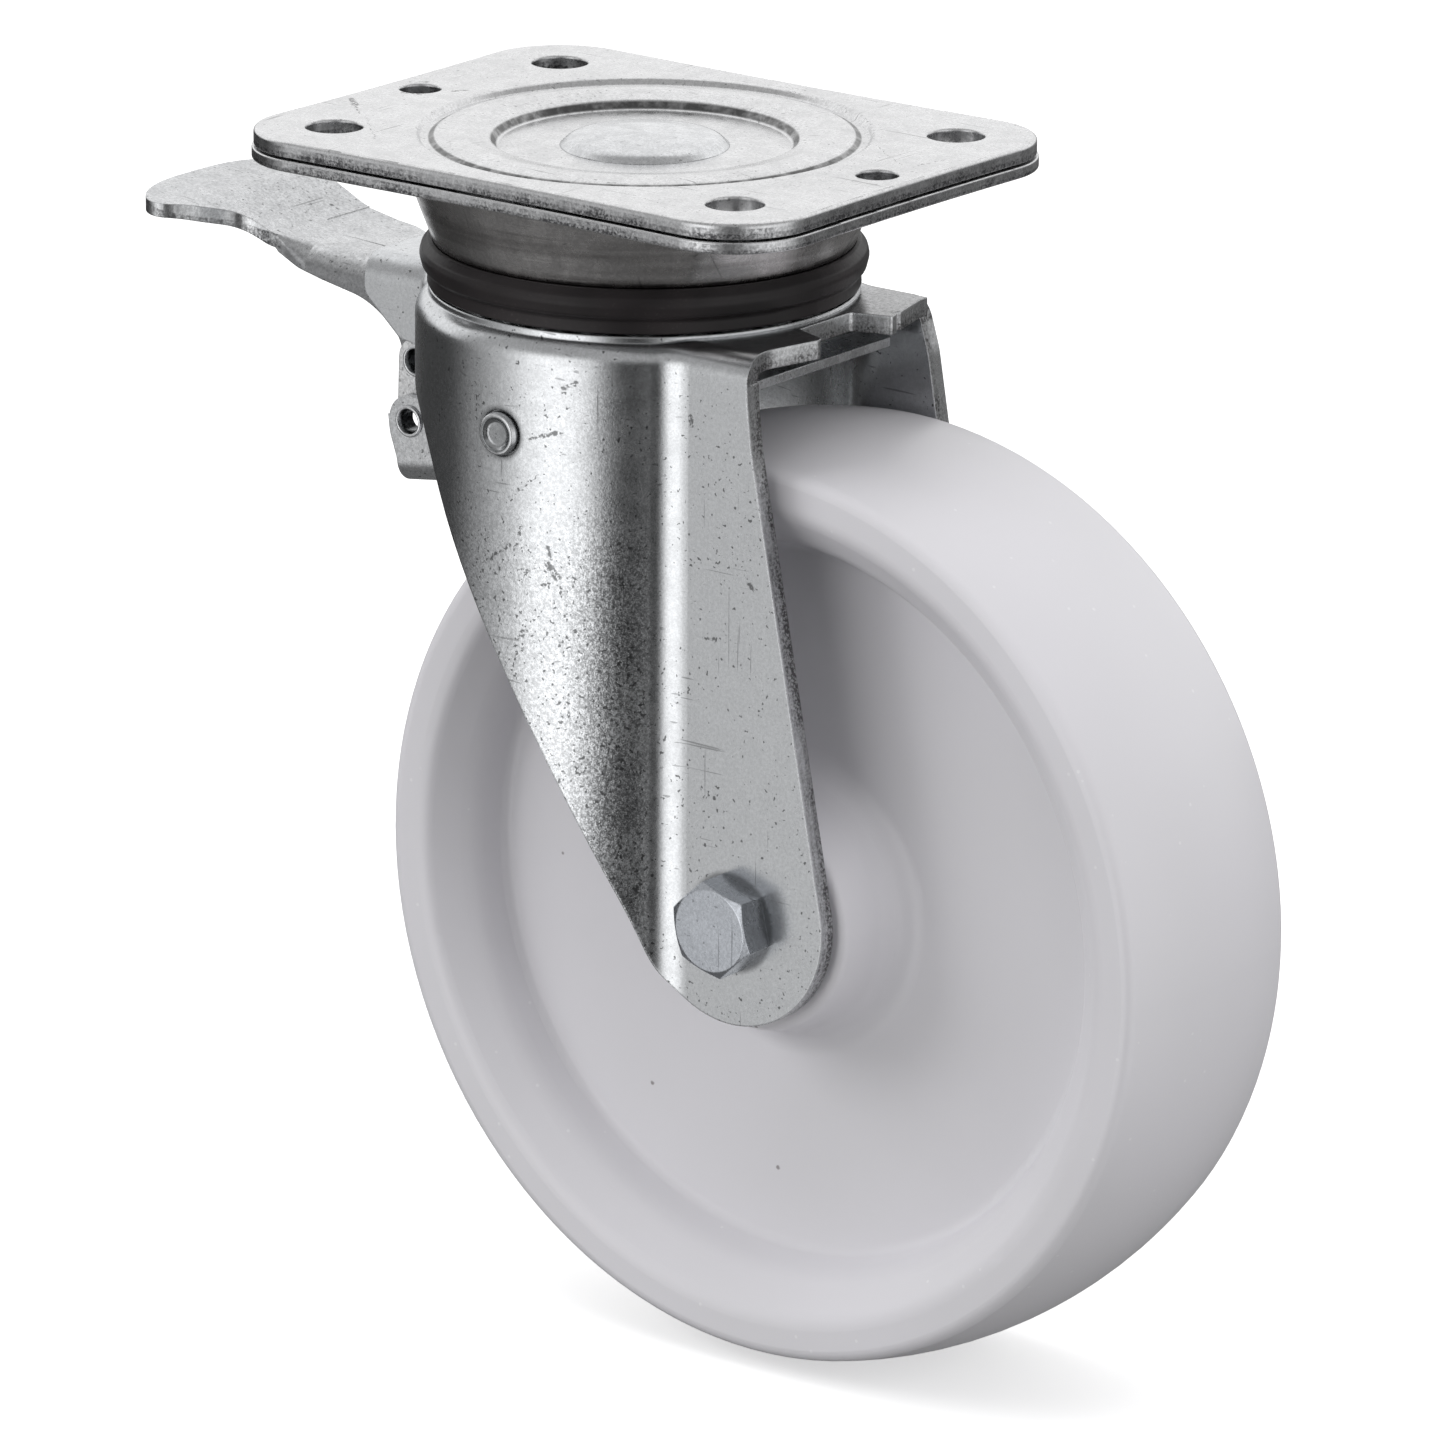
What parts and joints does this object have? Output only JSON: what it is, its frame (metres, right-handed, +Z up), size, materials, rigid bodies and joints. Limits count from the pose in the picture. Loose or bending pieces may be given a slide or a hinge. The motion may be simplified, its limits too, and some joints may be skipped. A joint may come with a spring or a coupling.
{
  "type": "swivel castor",
  "caption": "Swivel castor with a rectangular top plate, a pressed steel fork, a solid plastic wheel and a leading foot pedal that brakes both the wheel and the swivel.",
  "frame": {"origin": "centre of the top plate's upper face, on the swivel axis", "axes": "+Z up out of the mounting face, +X the way the wheel trails, -X towards the brake pedal, Y along the wheel's axle"},
  "size_m": [0.2738, 0.11, 0.2537],
  "materials": {
    "zinc_plate": "bright zinc plated, speckled and lightly scratched",
    "zinc_fork": "bright zinc plated pressing, pitted and scratched",
    "zinc_lever": "bright zinc plated",
    "zinc_pin": "bright zinc plated",
    "zinc_bolt": "blue-white zinc plated",
    "bare_steel": "plain turned steel",
    "ball_steel": "hardened and polished, greased",
    "seal_rubber": "satin black",
    "polyamide": "moulded, milky grey-white, satin",
    "cage_plastic": "moulded",
    "insert_plastic": "moulded"
  },
  "bodies": {
    "plate": {"top_plate": "zinc_plate", "bearing_cup_plate": "zinc_plate", "king_pin": "zinc_pin", "king_pin_spacer": "bare_steel", "king_pin_bush": "bare_steel", "swivel_lock_disc": "zinc_pin", "dust_seal": "seal_rubber"},
    "upper_balls": {"upper_ball_row": "ball_steel"},
    "lower_balls": {"lower_ball_row": "ball_steel"},
    "fork": {"fork": "zinc_fork", "pedal_bracket_left": "zinc_fork", "pedal_bracket_right": "zinc_fork", "pedal_pin": "zinc_pin", "rocker_rivet": "zinc_pin", "rocker_spacers": "bare_steel", "axle_tube": "bare_steel", "hub_end_washers": "zinc_pin", "axle_bolt": "zinc_bolt", "axle_nut": "zinc_bolt", "nut_insert": "insert_plastic"},
    "wheel": {"wheel": "polyamide"},
    "rollers": {"roller_cage": "cage_plastic", "hub_rollers": "ball_steel"},
    "pedal": {"brake_pedal": "zinc_lever", "upper_eyelets": "zinc_pin"},
    "links": {"brake_link_left": "zinc_lever", "brake_link_right": "zinc_lever", "lower_eyelets": "zinc_pin"},
    "rocker": {"brake_rocker": "zinc_lever", "brake_shoe": "bare_steel", "lock_leaf": "zinc_lever", "leaf_rivets": "zinc_pin"}
  },
  "joints": [
    {"name": "swivel", "type": "hinge", "parent": "plate", "child": "fork", "pos_m": [0, 0, -0.033], "axis": [0, 0, 1], "continuous": true},
    {"name": "upper_ball_orbit", "type": "hinge", "parent": "plate", "child": "upper_balls", "pos_m": [0, 0, -0.0291], "axis": [0, 0, 1], "continuous": true},
    {"name": "lower_ball_orbit", "type": "hinge", "parent": "plate", "child": "lower_balls", "pos_m": [0, 0, -0.0346], "axis": [0, 0, 1], "continuous": true},
    {"name": "wheel_spin", "type": "hinge", "parent": "fork", "child": "wheel", "pos_m": [0.05, 0, -0.1537], "axis": [0, 1, 0], "continuous": true},
    {"name": "roller_orbit", "type": "hinge", "parent": "fork", "child": "rollers", "pos_m": [0.05, 0, -0.1537], "axis": [0, 1, 0], "continuous": true},
    {"name": "pedal_press", "type": "hinge", "parent": "fork", "child": "pedal", "pos_m": [-0.038, 0, -0.042], "axis": [0, -1, 0], "range_deg": [0, 16]},
    {"name": "link_turn", "type": "hinge", "parent": "pedal", "child": "links", "pos_m": [-0.0525, 0, -0.0559], "axis": [0, -1, 0], "range_deg": [-40, 40]},
    {"name": "rocker_turn", "type": "hinge", "parent": "fork", "child": "rocker", "pos_m": [0, 0, -0.0547], "axis": [0, -1, 0], "range_deg": [0, 4]}
  ],
  "couplings": [
    {"joint": "upper_ball_orbit", "follows": "swivel", "ratio": 0.5},
    {"joint": "lower_ball_orbit", "follows": "swivel", "ratio": 0.5},
    {"joint": "roller_orbit", "follows": "wheel_spin", "ratio": 0.5918},
    {"joint": "link_turn", "follows": "pedal_press", "ratio": -1.9641},
    {"joint": "rocker_turn", "follows": "pedal_press", "ratio": 0.209}
  ]
}
